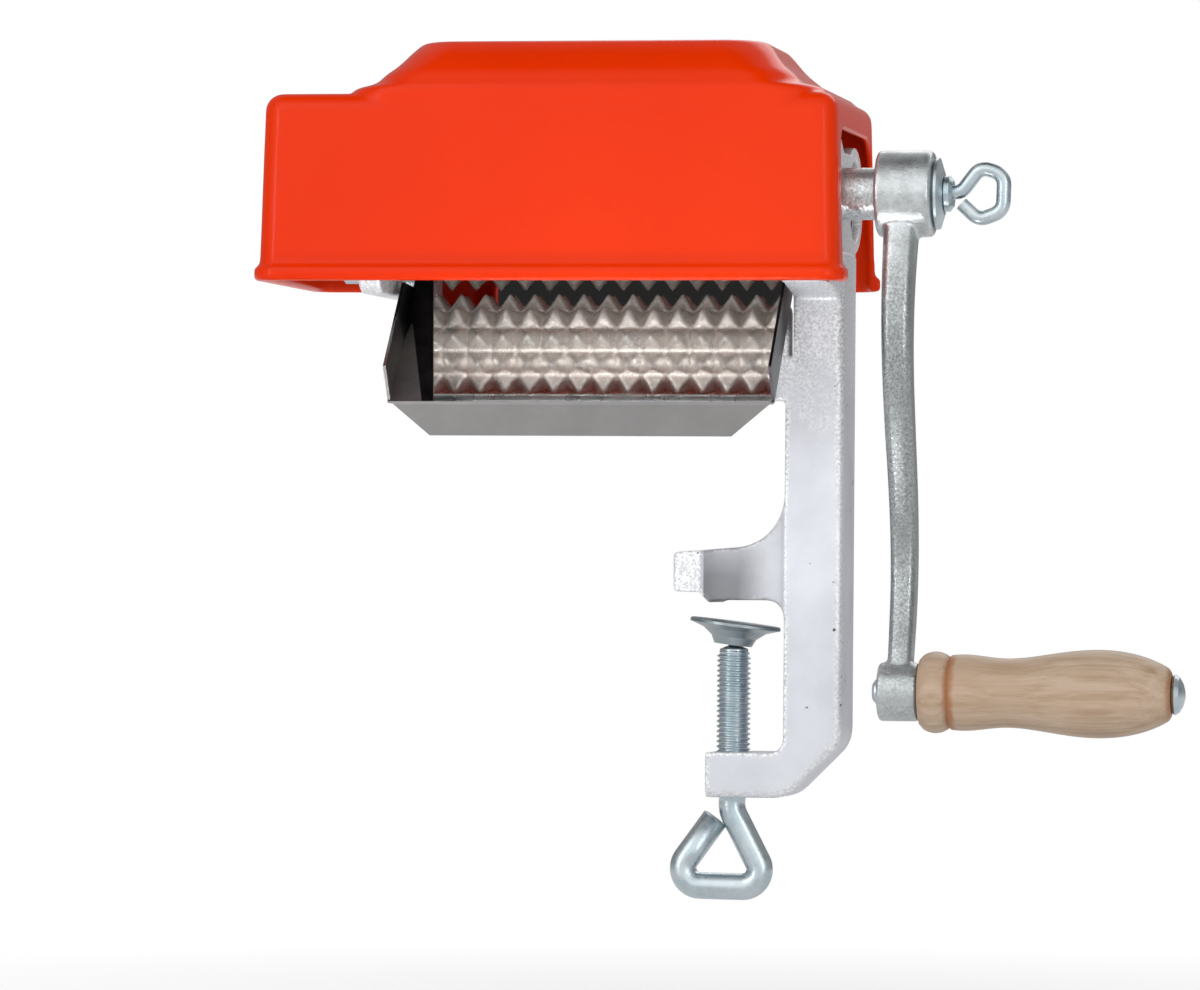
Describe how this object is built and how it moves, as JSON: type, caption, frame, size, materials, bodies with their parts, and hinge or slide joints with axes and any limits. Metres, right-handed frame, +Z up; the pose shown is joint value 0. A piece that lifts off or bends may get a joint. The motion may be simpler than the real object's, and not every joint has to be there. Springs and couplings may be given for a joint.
{
  "type": "crank meat tenderizer machine",
  "caption": "Hand cranked meat tenderizer: two toothed rollers in a cast frame with a table clamp, under a lift-off feed cover, with an exit tray below",
  "frame": {"origin": "on the clamp screw's axis, in the flat face of the upper jaw, which lies on the table top", "axes": "+X along the rollers towards the crank, +Y to the back, +Z up"},
  "size_m": [0.3216, 0.1016, 0.2971],
  "materials": {
    "frame_cast": "silver tinned casting, slightly grainy",
    "crank_cast": "bare grey casting with fine sparkle",
    "roller_cast": "cast, satin",
    "gear_cast": "cast, satin",
    "steel": "turned steel, satin",
    "zinc": "bright zinc plating",
    "bush": "dark oil filled bearing polymer",
    "cover_plastic": "glossy moulded orange red",
    "tray_sheet": "polished sheet",
    "wood": "lacquered beech"
  },
  "bodies": {
    "base": {"frame_casting": "frame_cast", "left_end_plate": "frame_cast", "tie_rod_front_low": "steel", "tie_rod_front_top": "steel", "tie_rod_tray": "steel", "tie_rod_nuts": "zinc", "drive_bush_right": "bush", "driven_bush_right": "bush", "drive_bush_left": "bush", "driven_bush_left": "bush"},
    "drive": {"drive_shaft": "steel", "drive_roller": "roller_cast", "drive_gear": "gear_cast", "drive_gear_key": "steel", "drive_gear_washer": "zinc", "drive_gear_nut": "zinc", "crank_arm": "crank_cast", "handle_pin": "zinc"},
    "driven": {"driven_shaft": "steel", "driven_roller": "roller_cast", "driven_gear": "gear_cast", "driven_gear_key": "steel", "driven_gear_washer": "zinc", "driven_gear_nut": "zinc"},
    "washer": {"eye_washer": "zinc"},
    "eye": {"eye_screw": "zinc"},
    "grip": {"handle_grip": "wood"},
    "cover": {"cover_shell": "cover_plastic"},
    "tray": {"exit_tray": "tray_sheet"},
    "ring": {"pad_ring": "steel"},
    "screw": {"clamp_screw": "zinc"},
    "pad": {"clamp_pad": "zinc"}
  },
  "joints": [
    {"name": "crank_turn", "type": "hinge", "parent": "base", "child": "drive", "pos_m": [0, -0.0215, 0.14], "axis": [1, 0, 0], "continuous": true},
    {"name": "driven_turn", "type": "hinge", "parent": "base", "child": "driven", "pos_m": [0, 0.0215, 0.14], "axis": [1, 0, 0], "continuous": true},
    {"name": "grip_spin", "type": "hinge", "parent": "drive", "child": "grip", "pos_m": [0.06, -0.0215, -0.031], "axis": [1, 0, 0], "continuous": true},
    {"name": "washer_slide", "type": "slide", "parent": "drive", "child": "washer", "axis": [1, 0, 0], "range_m": [0, 0.012]},
    {"name": "eye_turn", "type": "hinge", "parent": "washer", "child": "eye", "pos_m": [0.07, -0.0215, 0.14], "axis": [1, 0, 0], "range_deg": [0, 3457]},
    {"name": "cover_lift", "type": "slide", "parent": "base", "child": "cover", "axis": [0, 0, 1], "range_m": [0, 0.12]},
    {"name": "tray_swing", "type": "hinge", "parent": "base", "child": "tray", "pos_m": [0, 0.0102, 0.112], "axis": [1, 0, 0], "range_deg": [-12, 0]},
    {"name": "clamp_travel", "type": "slide", "parent": "base", "child": "ring", "axis": [0, 0, 1], "range_m": [-0.03587, 0]},
    {"name": "clamp_turn", "type": "hinge", "parent": "ring", "child": "screw", "pos_m": [0, 0, -0.0122], "axis": [0, 0, 1], "range_deg": [-7381, 0]},
    {"name": "pad_tilt", "type": "hinge", "parent": "ring", "child": "pad", "pos_m": [0, 0, -0.0122], "axis": [0, 1, 0], "range_deg": [-14, 0]}
  ],
  "couplings": [
    {"joint": "driven_turn", "follows": "crank_turn", "ratio": -1},
    {"joint": "eye_turn", "follows": "washer_slide", "rad_per_m": 5026.5},
    {"joint": "clamp_turn", "follows": "clamp_travel", "rad_per_m": 3590.4}
  ]
}
